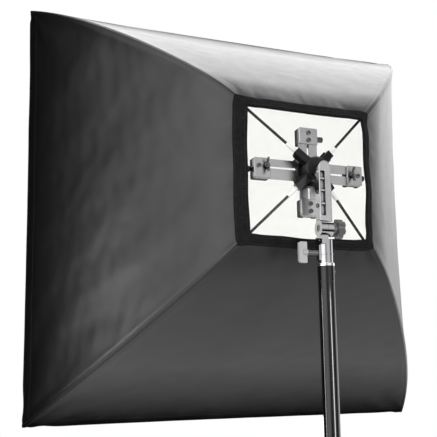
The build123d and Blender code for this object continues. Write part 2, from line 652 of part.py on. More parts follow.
# side, quarter turn, outer edge, slot's rise, lock, channel across the arm, knob's place on the arm
SHOES = (
    ("left", 0, ARM_LONG, LEFT_SLOT_UP, "wing", True, "end"),
    ("top", 1, ARM_SHORT, 0, "screw", False, "other_side"),
    ("right", 2, ARM_LONG, 0, "wing", True, "end"),
    ("bottom", 3, ARM_SHORT, 0, "screw", False, "side"),
)
for side, quarter, outer, rise, lock, across, knob_at in SHOES:
    outer_fix = outer - OUTER_FIX
    inner_fix = outer - INNER_FIX
    holes = (outer_fix, inner_fix)
    middle = Pos(outer - CLAMP_LEN / 2, SIDE_KNOB_Y, AXIS_Z)
    reach = KNOB_LEN if knob_at == "end" else SIDE_KNOB_LEN
    if knob_at == "end":
        knob_place = Pos(outer, KNOB_Y, AXIS_Z) * FACING_LEFT
    elif knob_at == "side":
        knob_place = middle * Pos(0, 0, -ARM_W / 2) * Rot(180, 0, 0)
    else:
        knob_place = middle * Pos(0, 0, ARM_W / 2)
    pinch = knob_place * Cylinder(1.5 + FIT, 9)
    risen = Pos(0, 0, rise)
    write(f"clamp_plate_{side}", on_arm(clamp_plate(outer, holes, rise), quarter))
    write(f"flash_shoe_{side}", on_arm(shoe_body(outer, holes, rise, across) - pinch, quarter))
    write(f"shoe_knob_{side}", on_arm(knob_place * shoe_knob(reach), quarter))
    if lock == "wing":
        fixings = [clamp_screw(outer_fix, SCREW_LEN), wing_stud(inner_fix)]
        write(f"wing_nut_{side}", on_arm(risen * wing_nut(inner_fix), quarter))
    else:
        fixings = [clamp_screw(outer_fix, SCREW_LEN), clamp_screw(inner_fix, SCREW_LEN)]
    write(f"clamp_screws_{side}", [on_arm(risen * f, quarter) for f in fixings])

# ---- tilt arm, joint, socket, stand ----
write("tilt_arm", make_tilt_arm())
write("tilt_arm_screws", make_side_screws())
write("stand_socket", make_socket())
write("tilt_bolt", make_tilt_bolt())
write("tilt_washer", make_tilt_washer())
write("tilt_knob", make_tilt_knob())
write("lock_handle", make_lock_handle())
write("stand_tube", make_tube())
write("stand_sleeve", make_sleeve())
write("stand_collar", make_collar())
write("stand_spigot", make_spigot())
write("collar_screw", make_collar_screw())
write("guide_bush", make_guide_bush())

print("seam length", round(SEAM_LEN, 1), "front heading", round(math.degrees(A2), 1), "radius", round(LONG_R, 1))
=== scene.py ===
import math

import bpy
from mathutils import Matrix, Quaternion, Vector, noise


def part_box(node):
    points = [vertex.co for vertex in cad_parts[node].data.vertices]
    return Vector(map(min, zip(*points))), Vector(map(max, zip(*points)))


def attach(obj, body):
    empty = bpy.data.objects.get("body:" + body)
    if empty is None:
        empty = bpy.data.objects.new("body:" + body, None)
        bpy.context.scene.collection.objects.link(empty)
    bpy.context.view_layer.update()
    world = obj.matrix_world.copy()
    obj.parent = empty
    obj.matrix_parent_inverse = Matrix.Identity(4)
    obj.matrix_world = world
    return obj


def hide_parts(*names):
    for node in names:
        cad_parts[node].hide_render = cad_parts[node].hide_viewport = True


# A square softbox on its flash bracket and light-stand riser. Metres, +Z up, the diffuser faces -Y.
# Sides are counted round the optical axis: 0 left (+X), 1 top, 2 right, 3 bottom.
# Seam k joins side k to side k + 1: 0 top left, 1 top right, 2 bottom right, 3 bottom left.

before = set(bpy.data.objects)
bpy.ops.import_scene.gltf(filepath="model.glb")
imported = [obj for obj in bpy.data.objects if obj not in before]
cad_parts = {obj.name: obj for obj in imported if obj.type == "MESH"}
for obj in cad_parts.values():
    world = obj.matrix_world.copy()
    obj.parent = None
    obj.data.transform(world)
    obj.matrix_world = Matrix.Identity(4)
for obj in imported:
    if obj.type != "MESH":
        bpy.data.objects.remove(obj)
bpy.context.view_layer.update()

SIDES = ("left", "top", "right", "bottom")
MM = 0.001

# ---- the fabric shell's sizes ----
PANEL_LOW, PANEL_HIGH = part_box("panel_left")
AXIS_Z = (PANEL_LOW.z + PANEL_HIGH.z) / 2
RIM_HALF = PANEL_HIGH.x
OPEN_Y = PANEL_HIGH.y
DEPTH = PANEL_HIGH.y - PANEL_LOW.y
OPEN_HALF = 90 * MM
SEAM_START = math.radians(76)
SEAM_BEND = math.radians(55)
SEAM_BEND_R = 250 * MM

SHELL_T = 0.5 * MM
LINING_INSET = 1.4 * MM
LINING_T = 0.4 * MM
BAND_W = 20 * MM
HEM_W = 22 * MM

# ---- the seam line: two tangent arcs in each diagonal plane ----
R_START = OPEN_HALF * math.sqrt(2)
BEND_DR = SEAM_BEND_R * (math.cos(SEAM_BEND) - math.cos(SEAM_START))
BEND_DF = SEAM_BEND_R * (math.sin(SEAM_START) - math.sin(SEAM_BEND))
LONG_DR = (RIM_HALF - OPEN_HALF) * math.sqrt(2) - BEND_DR
LONG_DF = DEPTH - BEND_DF
SEAM_END = 2 * math.atan2(LONG_DR, LONG_DF) - SEAM_BEND
LONG_R = math.hypot(LONG_DR, LONG_DF) / (2 * math.sin((SEAM_BEND - SEAM_END) / 2))
BEND_LEN = SEAM_BEND_R * (SEAM_START - SEAM_BEND)
SEAM_LEN = BEND_LEN + LONG_R * (SEAM_BEND - SEAM_END)


def on_seam(s):
    """Distance from the optical axis, distance forward of the opening and heading, at seam length s."""
    if s <= 0:
        return R_START + s * math.sin(SEAM_START), s * math.cos(SEAM_START), SEAM_START
    if s <= BEND_LEN:
        a = SEAM_START - s / SEAM_BEND_R
        r = R_START + SEAM_BEND_R * (math.cos(a) - math.cos(SEAM_START))
        return r, SEAM_BEND_R * (math.sin(SEAM_START) - math.sin(a)), a
    a = SEAM_BEND - (s - BEND_LEN) / LONG_R
    r = R_START + BEND_DR + LONG_R * (math.cos(a) - math.cos(SEAM_BEND))
    return r, BEND_DF + LONG_R * (math.sin(SEAM_BEND) - math.sin(a)), a


def profile(s):
    """The left side's half-width, y and outward normal (x, y) at seam length s."""
    r, f, a = on_seam(s)
    nx, ny = math.cos(a), math.sin(a) / math.sqrt(2)
    n = math.hypot(nx, ny)
    return r / math.sqrt(2), OPEN_Y - f, nx / n, ny / n


def smooth(x):
    x = min(max(x, 0.0), 1.0)
    return x * x * (3 - 2 * x)


def wave(x, y, z, scale):
    return noise.noise(Vector((x / scale, y / scale, z)))


# ---- how the tensioned cloth leaves its plain ruled surface ----
SEAM_ROUND = 0.9 * MM       # the corner over the rod is rounded
SEAM_ROUND_W = 6 * MM
ROD_RIDGE = 0.4 * MM        # and stands proud beside it
CREASE_DEPTH = 1.6 * MM     # then falls to the tight cloth between the rods
CREASE_W = 26 * MM
SAG = 5.0 * MM
CALM = (1.0, 0.35, 0.4, 0.7)    # how uneven the cloth is on each side
FOLD_FROM = 60 * MM         # the long fold beside the top left seam, along the seam
FOLD_TO = 430 * MM
FOLD_W = 15 * MM
FOLD_H = 3.4 * MM


def corner_folds(reach, u, seed, size, depth):
    """Short folds that fan out from a corner of a panel."""
    rho = math.hypot(reach, u)
    theta = math.atan2(u, reach)
    bend = wave(reach, u, seed, 60 * MM)
    fan = math.sin(8 * theta + 2.2 * bend + seed)
    return depth * fan * math.exp(-rho / size) * rho / (rho + 12 * MM)


def long_fold(s, u):
    """The straight fold beside the top left seam: it rises from the seam to a crease, then falls away."""
    at = (s - FOLD_FROM) / (FOLD_TO - FOLD_FROM)
    if not 0 < at < 1:
        return 0.0
    bulge = 4 * at * (1 - at)
    crease = FOLD_W * bulge
    if u < crease:
        return FOLD_H * bulge * u / crease
    return FOLD_H * bulge * math.exp(-(u - crease) / (7 * MM))


def relief(side, s, z, half):
    """Outward displacement of the cloth at seam length s and distance z from the side's middle line."""
    u = half - abs(z)
    along = min(max(s / SEAM_LEN, 0.0), 1.0)
    belly = math.sin(math.pi * along) ** 0.8
    seed = 3.7 * side + (1.3 if z > 0 else 0.0)
    out = -SEAM_ROUND * max(0.0, 1 - u / SEAM_ROUND_W) ** 2 * (0.4 + 0.6 * belly)
    out += ROD_RIDGE * belly * math.exp(-(((u - 9 * MM) / (6 * MM)) ** 2))
    crease = 1 - math.exp(-max(0.0, u - 12 * MM) / CREASE_W)
    out -= (0.15 + 0.85 * belly) * (CREASE_DEPTH * crease + SAG * (1 - (z / half) ** 2))
    if side == 0 and z > 0:
        out += long_fold(s, u)
    clear = smooth(u / (26 * MM))
    free = smooth((s - BAND_W * 0.4) / (30 * MM)) * smooth((SEAM_LEN - s) / (45 * MM))
    diagonal = wave(s * 0.5 + z, s * 0.15 - z * 0.1, 11.0 + 5 * side, 70 * MM)
    out += 1.5 * MM * CALM[side] * diagonal * clear * (0.25 + 0.75 * free)
    out += 0.5 * MM * CALM[side] * wave(s, z, 31.0 + 5 * side, 26 * MM) * clear * (0.2 + 0.8 * free)
    out += corner_folds(s + 10 * MM, u, seed, 55 * MM, 1.6 * MM) * clear
    out += corner_folds(SEAM_LEN - s + 10 * MM, u, seed + 2, 90 * MM, 2.2 * MM) * clear
    pucker = wave(s * 0.25, z, 51.0 + 5 * side, 11 * MM)
    near_band = math.exp(-max(0.0, s - BAND_W) / (26 * MM)) * smooth((s - 6 * MM) / (14 * MM))
    out += 0.8 * MM * pucker * near_band * clear
    hem_line = SEAM_LEN - HEM_W
    pucker = wave(s * 0.2, z, 71.0 + 5 * side, 9 * MM)
    out += 0.35 * MM * pucker * math.exp(-(((s - hem_line) / (12 * MM)) ** 2)) * clear
    out -= 0.18 * MM * math.exp(-(((s - hem_line) / (2.5 * MM)) ** 2)) * clear
    return out


EDGE_BOW = (2.5 * MM, 0.5 * MM, 8 * MM, 4.5 * MM)    # left, top, right, bottom


def bowed(side, s, across):
    """The opening's edges are drawn outward between the corners, less and less along the panel."""
    pull = EDGE_BOW[side % 4] * (1 - across * across) * (1 - 0.25 * math.cos(7 * across + side))
    return s + pull * (1 - smooth(s / (150 * MM)))


def turned(x, y, z, side):
    """A point laid out for the left side, turned about the optical axis to another side."""
    c = (1, 0, -1, 0)[side % 4]
    q = (0, 1, 0, -1)[side % 4]
    return Vector((x * c - z * q, y, AXIS_Z + x * q + z * c))


def shell_point(side, s, across, lift=0.0):
    """A point of the shell: across runs from -1 to 1 between the seams, and lift is square to the cloth."""
    s = bowed(side, s, across)
    half, y, nx, ny = profile(s)
    out = lift + relief(side % 4, s, across * half, half)
    x = half + out * nx
    return turned(x, y + out * ny, across * x, side)


# ---- mesh helpers ----
def add_mesh(name, points, faces, material, uvs=None):
    """A smooth mesh that rides on the head. uvs are in metres along the cloth, one for each point."""
    mesh = bpy.data.meshes.new(name)
    mesh.from_pydata([tuple(p) for p in points], [], faces)
    if uvs:
        layer = mesh.uv_layers.new(name="cloth")
        for loop in mesh.loops:
            layer.data[loop.index].uv = uvs[loop.vertex_index]
    for face in mesh.polygons:
        face.use_smooth = True
    mesh.validate()
    obj = bpy.data.objects.new(name, mesh)
    bpy.context.scene.collection.objects.link(obj)
    obj.data.materials.append(material)
    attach(obj, "head")
    return obj


def sheet_faces(rows, columns):
    """The faces of a closed sheet: its outer grid, its inner grid and the four edges between them."""
    inner = rows * columns

    def at(i, j):
        return i * columns + j

    faces = []
    for i in range(rows - 1):
        for j in range(columns - 1):
            quad = (at(i, j), at(i, j + 1), at(i + 1, j + 1), at(i + 1, j))
            faces.append(quad)
            faces.append(tuple(inner + v for v in reversed(quad)))
    for i in range(rows - 1):
        first, last = (at(i, 0), at(i + 1, 0)), (at(i + 1, columns - 1), at(i, columns - 1))
        for a, b in (first, last):
            faces.append((a, b, inner + b, inner + a))
    for j in range(columns - 1):
        first, last = (at(0, j + 1), at(0, j)), (at(rows - 1, j), at(rows - 1, j + 1))
        for a, b in (first, last):
            faces.append((a, b, inner + b, inner + a))
    return faces


def loop_faces(rows, columns):
    """The faces of a closed ring: rows round its section, columns round the opening."""
    faces = []
    for i in range(rows):
        for j in range(columns):
            a, b = i * columns + j, i * columns + (j + 1) % columns
            c, d = (i + 1) % rows * columns + (j + 1) % columns, (i + 1) % rows * columns + j
            faces.append((a, b, c, d))
    return faces


def spaced(low, high, step):
    count = max(1, round((high - low) / step))
    return [low + (high - low) * k / count for k in range(count + 1)]


# ---- materials ----
class Shade:
    """A material under construction: a Principled shader and short calls that add nodes to it."""

    def __init__(self, name, colour, roughness, metallic=0.0, specular=0.5):
        self.material = bpy.data.materials.new(name)
        self.material.use_nodes = True
        self.tree = self.material.node_tree
        self.shader = self.tree.nodes["Principled BSDF"]
        self.set("Base Color", (*colour, 1))
        self.set("Roughness", roughness)
        self.set("Metallic", metallic)
        self.set("Specular IOR Level", specular)
        self.height = None

    def set(self, socket, value):
        self.shader.inputs[socket].default_value = value

    def node(self, kind, **settings):
        node = self.tree.nodes.new("ShaderNode" + kind)
        for key, value in settings.items():
            if key in node.bl_rna.properties:
                setattr(node, key, value)
            else:
                node.inputs[key.replace("_", " ")].default_value = value
        return node

    def link(self, source, target):
        self.tree.links.new(source, target)

    def place(self, scale=(1, 1, 1), uv=False):
        """Coordinates in millimetres, from the mesh or, on cloth, along its threads."""
        where = self.node("UVMap", uv_map="cloth") if uv else self.node("TexCoord")
        mapping = self.node("Mapping")
        mapping.inputs["Scale"].default_value = tuple(1000 * k for k in scale)
        self.link(where.outputs["UV" if uv else "Object"], mapping.inputs["Vector"])
        return mapping.outputs["Vector"]

    def noise(self, size, detail=3.0, where=None, distortion=0.0):
        """Noise whose features are about size millimetres across."""
        node = self.node("TexNoise", Scale=1 / size, Detail=detail, Distortion=distortion)
        self.link(where or self.place(), node.inputs["Vector"])
        return node.outputs["Fac"]

    def spread(self, source, low, high, out_low, out_high):
        node = self.node("MapRange")
        values = (low, high, out_low, out_high)
        for socket, value in zip(("From Min", "From Max", "To Min", "To Max"), values):
            node.inputs[socket].default_value = value
        self.link(source, node.inputs["Value"])
        return node.outputs["Result"]

    def combine(self, operation, a, b):
        node = self.node("Math", operation=operation)
        for socket, value in zip(node.inputs, (a, b)):
            if isinstance(value, (int, float)):
                socket.default_value = value
            else:
                self.link(value, socket)
        return node.outputs[0]

    def colours(self, source, low, high):
        """Base colour that runs from low to high with the source."""
        ramp = self.node("ValToRGB")
        ramp.color_ramp.elements[0].position = 0.3
        ramp.color_ramp.elements[1].position = 0.7
        ramp.color_ramp.elements[0].color = (*low, 1)
        ramp.color_ramp.elements[1].color = (*high, 1)
        self.link(source, ramp.inputs["Fac"])
        self.link(ramp.outputs["Color"], self.shader.inputs["Base Color"])

    def paint_recess_shade(self, dark, reach):
        """Paints shade into the base colour: darker in the piece's own corners and recesses, by an ambient
        occlusion mask.
        """
        shade = self.node("AmbientOcclusion", samples=8, only_local=True, Distance=reach)
        base = self.shader.inputs["Base Color"]
        mix = self.node("Mix", data_type="RGBA")
        self.link(self.spread(shade.outputs["AO"], 0.35, 0.85, 0.0, 1.0), mix.inputs["Factor"])
        mix.inputs[6].default_value = (*dark, 1)
        self.link(base.links[0].from_socket, mix.inputs[7])
        self.link(mix.outputs[2], base)

    def roughness(self, source, low, high):
        self.link(self.spread(source, 0.3, 0.7, low, high), self.shader.inputs["Roughness"])

    def bump(self, source, depth):
        """Adds relief of that depth in millimetres."""
        node = self.node("Bump", Distance=depth * MM, Strength=1.0)
        self.link(source, node.inputs["Height"])
        if self.height:
            self.link(self.height, node.inputs["Normal"])
        self.height = node.outputs["Normal"]
        self.link(self.height, self.shader.inputs["Normal"])

    def weave(self, pitch):
        """A plain weave of threads along and across the cloth."""
        where = self.place(uv=True)
        waves = []
        for direction in ("X", "Y"):
            node = self.node("TexWave", bands_direction=direction, Scale=math.pi / 10 / pitch)
            self.link(where, node.inputs["Vector"])
            waves.append(node.outputs["Fac"])
        return self.combine("MULTIPLY", waves[0], waves[1])


MATT_W = 185 * MM       # how far behind the front rim the nylon starts to grow matt
MATT_PAST = 8 * MM      # and how far past it the change would be complete
MATT_UNEVEN = 30 * MM


def black_nylon():
    m = Shade("black_nylon", (0.008, 0.008, 0.0085), 0.32, specular=0.55)
    m.colours(m.noise(90, 4), (0.006, 0.006, 0.0064), (0.011, 0.011, 0.0118))
    m.roughness(m.noise(14, 4), 0.31, 0.35)
    m.bump(m.noise(7, 3), 0.03)
    m.bump(m.weave(0.55), 0.03)
    matt = m.node("BsdfPrincipled", Base_Color=(0.004, 0.004, 0.0042, 1), Roughness=0.8)
    matt.inputs["IOR"].default_value = 1.0
    along = m.node("SeparateXYZ")
    m.link(m.node("UVMap", uv_map="cloth").outputs["UV"], along.inputs["Vector"])
    uneven = m.combine("MULTIPLY", m.noise(45, 3), MATT_UNEVEN)
    edge = m.combine("ADD", along.outputs["Y"], uneven)
    mix = m.node("MixShader")
    m.link(m.spread(edge, SEAM_LEN - MATT_W, SEAM_LEN + MATT_PAST, 0.0, 1.0), mix.inputs["Fac"])
    m.link(m.shader.outputs["BSDF"], mix.inputs[1])
    m.link(matt.outputs["BSDF"], mix.inputs[2])
    m.link(mix.outputs["Shader"], m.tree.nodes["Material Output"].inputs["Surface"])
    return m.material


def white_lining():
    m = Shade("white_lining", (0.86, 0.86, 0.85), 0.6, specular=0.35)
    m.colours(m.noise(60, 3), (0.84, 0.84, 0.83), (0.9, 0.9, 0.89))
    m.roughness(m.noise(10, 3), 0.5, 0.68)
    m.bump(m.weave(0.6), 0.03)
    return m.material


DIFFUSER_CLEAR = 0.7    # share of the translucent shader in the mix


def diffuser_cloth():
    m = Shade("diffuser_cloth", (0.9, 0.9, 0.89), 0.75, specular=0.25)
    m.colours(m.noise(80, 3), (0.87, 0.87, 0.86), (0.93, 0.93, 0.92))
    m.roughness(m.noise(8, 2), 0.68, 0.82)
    m.bump(m.weave(0.5), 0.03)
    through = m.node("BsdfTranslucent", Color=(0.95, 0.95, 0.94, 1))
    mix = m.node("MixShader")
    mix.inputs["Fac"].default_value = DIFFUSER_CLEAR
    m.link(m.shader.outputs["BSDF"], mix.inputs[1])
    m.link(through.outputs["BSDF"], mix.inputs[2])
    m.link(mix.outputs["Shader"], m.tree.nodes["Material Output"].inputs["Surface"])
    return m.material


def touch_tape():
    m = Shade("touch_tape", (0.008, 0.008, 0.0085), 0.8, specular=0.12)
    m.colours(m.noise(3, 4), (0.003, 0.003, 0.0034), (0.011, 0.011, 0.012))
    m.roughness(m.noise(5, 3), 0.65, 0.9)
    m.bump(m.noise(0.9, 4, distortion=1.2), 0.18)
    return m.material


def thread(name, colour):
    m = Shade(name, colour, 0.5)
    m.colours(m.noise(1.2, 2), tuple(0.8 * c for c in colour), tuple(1.2 * c for c in colour))
    m.bump(m.noise(0.25, 2), 0.05)
    return m.material


def moulded(name, colour, rough_low, rough_high, grain=0.25, specular=0.5):
    """Moulded plastic or powder coat with a fine grain."""
    m = Shade(name, colour, rough_low, specular=specular)
    m.colours(m.noise(18, 4), tuple(0.85 * c for c in colour), tuple(1.15 * c for c in colour))
    m.roughness(m.noise(6, 4), rough_low, rough_high)
    m.bump(m.noise(grain, 2), 0.02)
    return m.material


STEM_SHARE = 0.62    # where the stem gives way to the grip, as a share of the piece's extent in X
STEM_FADE = 0.02


def handle_grey():
    """A pale moulded grip on a darker plated stem."""
    m = Shade("handle_grey", (0.42, 0.42, 0.42), 0.4)
    across = m.node("SeparateXYZ")
    m.link(m.node("TexCoord").outputs["Generated"], across.inputs["Vector"])
    grip = m.spread(across.outputs["X"], STEM_SHARE - STEM_FADE, STEM_SHARE + STEM_FADE, 0.2, 0.8)
    m.colours(grip, (0.09, 0.09, 0.09), (0.34, 0.34, 0.34))
    m.roughness(m.noise(6, 4), 0.32, 0.48)
    m.bump(m.noise(0.25, 2), 0.02)
    return m.material


def metal(name, colour, rough_low, rough_high, grain=(1, 1, 1), depth=0.01):
    """Bare or plated metal, with its finish drawn out along the grain's longest direction."""
    m = Shade(name, colour, rough_low, metallic=1.0)
    drawn = m.noise(0.6, 4, where=m.place(grain))
    m.colours(m.noise(22, 4), tuple(0.9 * c for c in colour), tuple(min(1.0, 1.06 * c) for c in colour))
    # painted shade: the base colour darkens in the piece's own corners and recesses
    m.paint_recess_shade(tuple(0.04 * c for c in colour), 7 * MM)
    m.roughness(m.combine("MULTIPLY", drawn, m.noise(9, 3)), rough_low, rough_high)
    m.bump(drawn, depth)
    return m.material


def painted(name, colour, rough_low, rough_high):
    """Paint over metal, with a slight orange peel."""
    m = Shade(name, colour, rough_low)
    m.colours(m.noise(25, 3), tuple(0.85 * c for c in colour), tuple(1.15 * c for c in colour))
    m.roughness(m.noise(7, 3), rough_low, rough_high)
    m.bump(m.noise(1.6, 2), 0.006)
    return m.material


FINISHES = {
    "black_nylon": black_nylon(),
    "white_lining": white_lining(),
    "diffuser_cloth": diffuser_cloth(),
    "touch_tape": touch_tape(),
    "rod_black": painted("rod_black", (0.012, 0.012, 0.012), 0.2, 0.34),
    "ferrule_white": moulded("ferrule_white", (0.78, 0.78, 0.76), 0.3, 0.45),
    "arm_metal": metal("arm_metal", (0.33, 0.33, 0.335), 0.3, 0.46, grain=(0.08, 1, 1)),
    "hub_black": moulded("hub_black", (0.005, 0.005, 0.0055), 0.24, 0.38, grain=0.4, specular=0.25),
    "shoe_black": moulded("shoe_black", (0.008, 0.008, 0.0085), 0.4, 0.55, specular=0.2),
    "screw_steel": metal("screw_steel", (0.15, 0.15, 0.15), 0.2, 0.36),
    "knob_black": moulded("knob_black", (0.09, 0.09, 0.094), 0.28, 0.42),
    "joint_metal": metal("joint_metal", (0.46, 0.46, 0.47), 0.06, 0.16, grain=(1, 1, 0.1), depth=0.004),
    "handle_grey": handle_grey(),
    "bright_chrome": metal("bright_chrome", (0.82, 0.82, 0.82), 0.05, 0.14, depth=0.001),
    "tube_black": painted("tube_black", (0.003, 0.003, 0.003), 0.05, 0.11),
}
BLACK_THREAD = thread("black_thread", (0.02, 0.02, 0.022))
WHITE_THREAD = thread("white_thread", (0.75, 0.75, 0.74))

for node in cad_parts.values():
    for slot in node.material_slots:
        slot.material = FINISHES[slot.material.name.split(".")[0]]

# ---- shell and lining ----
SEAM_STEPS = [k * MM for k in (0, 1.5, 3, 4.6, 5.4, 7, 9, 11, 13, 16, 20, 24)]    # from the seam line
MIDDLE_STEPS = 76


def columns_across(half):
    """Where the grid's columns lie between the seams, from -1 to 1: close together beside the seams."""
    edge = [1 - u / half for u in SEAM_STEPS]
    middle = [edge[-1] * (1 - 2 * k / MIDDLE_STEPS) for k in range(1, MIDDLE_STEPS)]
    return [-a for a in edge] + [-a for a in middle] + list(reversed(edge))


def rows_along(first, last):
    """Seam lengths of the grid's rows: closer together by the opening and the hem."""
    near = spaced(first, first + 45 * MM, 3 * MM)
    middle = spaced(near[-1], last - 40 * MM, 5 * MM)[1:]
    return near + middle + spaced(middle[-1], last, 2.5 * MM)[1:]


def seam_lap(u):
    """The felled seam: the cloth is doubled for 5 mm each side of the seam line."""
    return 0.5 * MM * (1 - smooth((u - 4.6 * MM) / (0.9 * MM)))


def make_layer(name, side, inset, thickness, material, lapped=False):
    """One side of a cloth layer, as a closed sheet."""
    rows = rows_along(0.0, SEAM_LEN)
    columns = len(columns_across(OPEN_HALF))
    points, uvs = [], []
    for depth in (inset, inset + thickness):
        for s in rows:
            half = profile(s)[0]
            for across in columns_across(half):
                lift = -depth
                if lapped and depth == inset:
                    lift += seam_lap(half * (1 - abs(across)))
                points.append(shell_point(side, s, across, lift))
                uvs.append((across * half, s))
    return add_mesh(name, points, sheet_faces(len(rows), columns), material, uvs)


for k, side in enumerate(SIDES):
    panel = make_layer(f"shell_{side}", k, 0.0, SHELL_T, FINISHES["black_nylon"], lapped=True)
    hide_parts(f"panel_{side}")
    lining = make_layer(f"white_lining_{side}", k, LINING_INSET, LINING_T, FINISHES["white_lining"])
    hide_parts(f"lining_{side}")


# ---- ring-shaped strips: the touch-tape band, the hem ----
# the tape's width on each side as a share of BAND_W: left, top, right, bottom
BAND_SHARE = (1.3, 1.0, 0.62, 0.95)


def band_share(side, across, half):
    """The tape's share of its usual width: its own in the middle, between two sides' at a corner."""
    other = BAND_SHARE[(side + (1 if across > 0 else -1)) % 4]
    near = 0.5 * smooth(1 - half * (1 - abs(across)) / (16 * MM))
    return BAND_SHARE[side] * (1 - near) + other * near


def make_ring(name, section, step, material):
    """A strip round the shell. section is a closed list of (seam length, lift)."""
    points, uvs = [], []
    columns = round(2 * OPEN_HALF / step) if section[0][0] < SEAM_LEN / 2 else round(2 * RIM_HALF / step)
    travelled = 0.0
    for i, (s, lift) in enumerate(section):
        if i:
            travelled += math.hypot(s - section[i - 1][0], lift - section[i - 1][1])
        half = profile(s)[0]
        for side in range(4):
            for j in range(columns):
                across = -1 + 2 * j / columns
                wide = band_share(side, across, half) if 0 < s < BAND_W + 2 * MM else 1.0
                points.append(shell_point(side, s * wide, across, lift))
                uvs.append(((2 * side + across) * half, travelled))
    return add_mesh(name, points, loop_faces(len(section), 4 * columns), material, uvs)


def strip_section(path, thickness):
    """The closed outline of a strip whose middle line is path, with rounded edges."""
    outer, inner = [], []
    for i, (s, lift) in enumerate(path):
        before, after = path[max(i - 1, 0)], path[min(i + 1, len(path) - 1)]
        ds, dl = after[0] - before[0], after[1] - before[1]
        n = math.hypot(ds, dl)
        t = thickness / 2 * (0.45 if i in (0, len(path) - 1) else 1)
        outer.append((s - dl / n * t, lift + ds / n * t))
        inner.append((s + dl / n * t, lift - ds / n * t))
    return outer + inner[::-1]


def band_path():
    """From inside the lining, round the opening's edge and back over the outer cloth."""
    inside, outside, edge = -2.9 * MM, 0.9 * MM, -1.5 * MM
    path = [(BAND_W * 0.7 * k / 5, inside) for k in range(5, 0, -1)]
    centre, radius = (inside + outside) / 2, (outside - inside) / 2
    for k in range(7):
        a = math.pi * k / 6
        path.append((edge * math.sin(a), centre - radius * math.cos(a)))
    steps = 12
    for k in range(1, steps + 1):
        at = k / steps
        selvedge = 0.25 * MM * (1 if at in (1, 11 / 12) else 0)
        path.append((BAND_W * at, outside + selvedge))
    return path


band = make_ring("opening_binding", strip_section(band_path(), 0.9 * MM), 3 * MM, FINISHES["touch_tape"])
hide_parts("opening_band")


def hem_path():
    """From behind the diffuser's edge to the rim, and over the cut edges of the lining and the shell."""
    inside, outside = -2.6 * MM, -0.2 * MM
    start = SEAM_LEN - HEM_W
    path = [(start + (HEM_W - 1.5 * MM) * k / 9, inside) for k in range(10)]
    centre, radius = (inside + outside) / 2, (outside - inside) / 2
    for k in range(1, 6):
        a = math.pi * k / 6
        path.append((SEAM_LEN - 1.4 * MM + 1.5 * MM * math.sin(a), centre - radius * math.cos(a)))
    return path


hem = make_ring("rim_hem", strip_section(hem_path(), 0.7 * MM), 6 * MM, FINISHES["touch_tape"])
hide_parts("front_hem")


# ---- diffuser ----
DIFFUSER_LOW, DIFFUSER_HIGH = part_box("front_diffuser")
DIFFUSER_HALF = DIFFUSER_HIGH.x
DIFFUSER_T = 0.5 * MM
TAPE_W = 14 * MM


def diffuser_relief(x, z):
    """The diffuser's cloth is tight, with faint folds that run out to its corners."""
    edge = DIFFUSER_HALF - max(abs(x), abs(z))
    free = smooth(edge / (60 * MM))
    fold = noise.noise(Vector(((x + z) / 0.05, (x - z) / 0.32, 5.0 if x * z > 0 else 9.0)))
    turn = noise.noise(Vector(((x - z) / 0.05, (x + z) / 0.32, 15.0)))
    out = 1.4 * MM * (fold if x * z < 0 else turn) * free
    out += 1.0 * MM * noise.noise(Vector((x / 0.12, z / 0.12, 2.0))) * free
    by_tape = math.exp(-max(0, edge - TAPE_W) / 0.02)
    out += 0.25 * MM * noise.noise(Vector((x / 0.012, z / 0.012, 3.0))) * by_tape
    out -= 3.0 * MM * free * (1 - (x / DIFFUSER_HALF) ** 2) * (1 - (z / DIFFUSER_HALF) ** 2)
    return out + (0.4 * MM if edge < TAPE_W else 0.0)


def make_diffuser():
    steps = [-a for a in reversed(spaced(0, DIFFUSER_HALF - TAPE_W, 6.5 * MM)[1:])]
    steps = steps + [-a for a in reversed(steps)]
    middle = sorted(set(steps) | {0.0})
    edge = [DIFFUSER_HALF - TAPE_W + k * MM for k in (0.6, 4, 8, 12, 13.4, 14)]
    lines = [-e for e in reversed(edge)] + middle + edge
    y = (DIFFUSER_LOW.y + DIFFUSER_HIGH.y) / 2
    points, uvs = [], []
    for depth in (0.0, DIFFUSER_T):
        for z in lines:
            for x in lines:
                out = diffuser_relief(x, z)
                if depth and max(abs(x), abs(z)) > DIFFUSER_HALF - TAPE_W:
                    out -= 0.8 * MM
                points.append(Vector((x, y - out + depth, AXIS_Z + z)))
                uvs.append((x, z))
    return add_mesh("diffuser_sheet", points, sheet_faces(len(lines), len(lines)),
                    FINISHES["diffuser_cloth"], uvs)


diffuser = make_diffuser()
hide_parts("front_diffuser")


# ---- stitching ----
STITCH = 3.0 * MM
STITCH_GAP = 1.0 * MM
THREAD_R = 0.22 * MM


def add_stitches(name, lines, material):
    """Rows of stitches. Each line is a function of the distance along it and its length."""
    points, faces = [], []
    for point_at, length in lines:
        pitch = length / max(1, round(length / (STITCH + STITCH_GAP)))
        for k in range(round(length / pitch)):
            start = point_at(k * pitch + STITCH_GAP / 2)
            end = point_at((k + 1) * pitch - STITCH_GAP / 2)
            along = (end - start).normalized()
            side = along.orthogonal().normalized() * THREAD_R
            other = along.cross(side)
            base = len(points)
            points += [start, end]
            for at in (0.25, 0.75):
                middle = start.lerp(end, at)
                points += [middle + side, middle + other, middle - side, middle - other]
            for j in range(4):
                a, b = base + 2 + j, base + 2 + (j + 1) % 4
                faces += [(base, b, a), (a, b, b + 4, a + 4), (base + 1, a + 4, b + 4)]
    return add_mesh(name, points, faces, material)


def across_line(side, s, lift, margin):
    """A stitch line square to the seams, at seam length s."""
    half = profile(s)[0]
    length = 2 * (half - margin)
    return lambda at: shell_point(side, s, (margin + at) / half - 1, lift), length


def seam_line(side, end, u, lift):
    """A stitch line beside a seam: end is 1 or -1, and u the distance from the seam line."""
    first, last = BAND_W + 2 * MM, SEAM_LEN - 2 * MM

    def point_at(at):
        s = first + at
        return shell_point(side, s, end * (1 - u / profile(s)[0]), lift)

    return point_at, last - first


